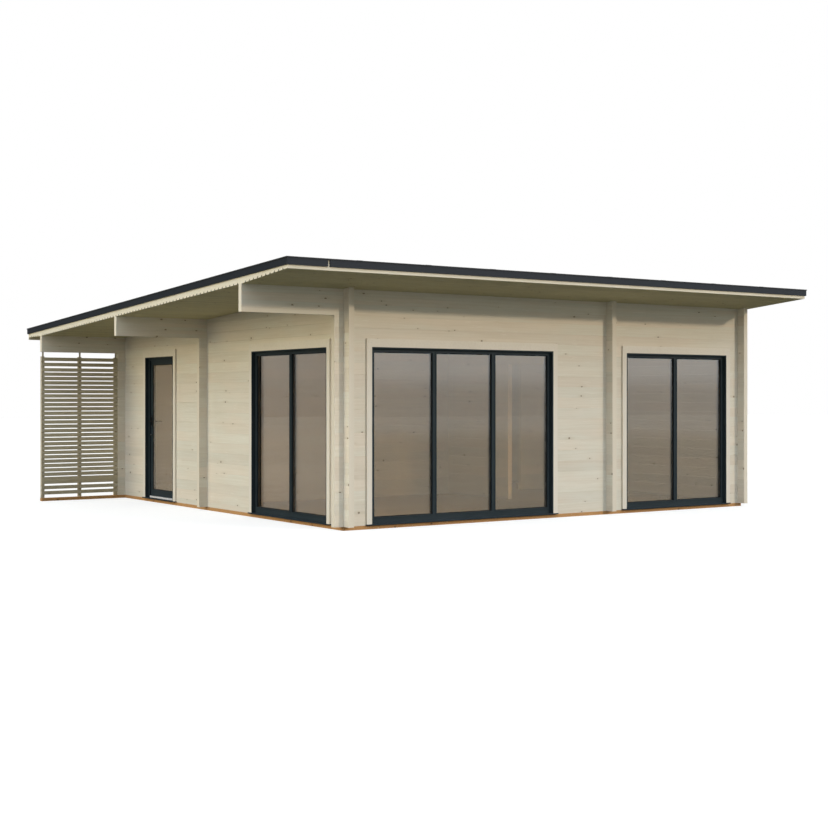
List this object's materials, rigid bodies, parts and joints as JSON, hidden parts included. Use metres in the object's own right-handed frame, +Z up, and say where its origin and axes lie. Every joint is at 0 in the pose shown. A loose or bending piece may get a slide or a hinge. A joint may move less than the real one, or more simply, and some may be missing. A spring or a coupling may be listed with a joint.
{
  "type": "garden house",
  "caption": "Log garden house with notched corners, a mono-pitch roof over a screened side terrace, tall glazed units and a glazed door that swings inwards.",
  "frame": {"origin": "on the ground under the middle of the roof", "axes": "+Z up; the glazed front faces -Y, and the terrace with the door is on the -X side"},
  "size_m": [8.102, 8.132, 3.0177],
  "materials": {
    "log_wood": "planed pale spruce with small knots",
    "trim_wood": "planed pale boards",
    "base_wood": "impregnated orange-brown beams",
    "floor_wood": "planed boards",
    "roof_wood": "pale V-jointed boards",
    "screen_wood": "planed slats, a little weathered",
    "dark_frame": "satin anthracite",
    "dark_fascia": "matt anthracite sheet",
    "roof_membrane": "dull black roofing sheet",
    "clear_glass": "clear double glazing",
    "door_metal": "brushed",
    "dark_metal": "satin black"
  },
  "bodies": {
    "house": {"front_left_pier": "log_wood", "front_middle_pier": "log_wood", "front_right_pier": "log_wood", "front_header": "log_wood", "front_purlin": "log_wood", "left_front_pier": "log_wood", "left_middle_pier": "log_wood", "left_back_pier": "log_wood", "left_header": "log_wood", "right_wall": "log_wood", "back_wall": "log_wood", "back_purlin": "log_wood", "long_partition_left": "log_wood", "long_partition_right": "log_wood", "long_partition_header": "log_wood", "middle_purlin": "log_wood", "cross_partition_front": "log_wood", "cross_partition_back": "log_wood", "cross_partition_header": "log_wood", "window_trim": "trim_wood", "door_trim": "trim_wood", "base_front": "base_wood", "base_back": "base_wood", "base_left": "base_wood", "base_right": "base_wood", "base_inner": "base_wood", "floor_joists": "base_wood", "floor_boards": "floor_wood", "roof_deck": "roof_wood", "back_eave_board": "roof_wood", "terrace_screen": "screen_wood", "front_wide_frame": "dark_frame", "front_narrow_frame": "dark_frame", "left_frame": "dark_frame", "door_frame": "dark_frame", "window_sills": "dark_frame", "front_fascia": "dark_fascia", "left_fascia": "dark_fascia", "right_fascia": "dark_fascia", "back_fascia": "dark_fascia", "roof_covering": "roof_membrane", "window_glass": "clear_glass", "door_threshold": "door_metal", "door_hinge_pins": "door_metal"},
    "door": {"door_leaf": "dark_frame", "door_glass": "clear_glass", "door_handle": "dark_metal", "door_hinge_barrels": "door_metal"}
  },
  "joints": [
    {"name": "door_swing", "type": "hinge", "parent": "house", "child": "door", "pos_m": [-2.614, 1.6889, 0], "axis": [0, 0, -1], "range_deg": [0, 100]}
  ]
}
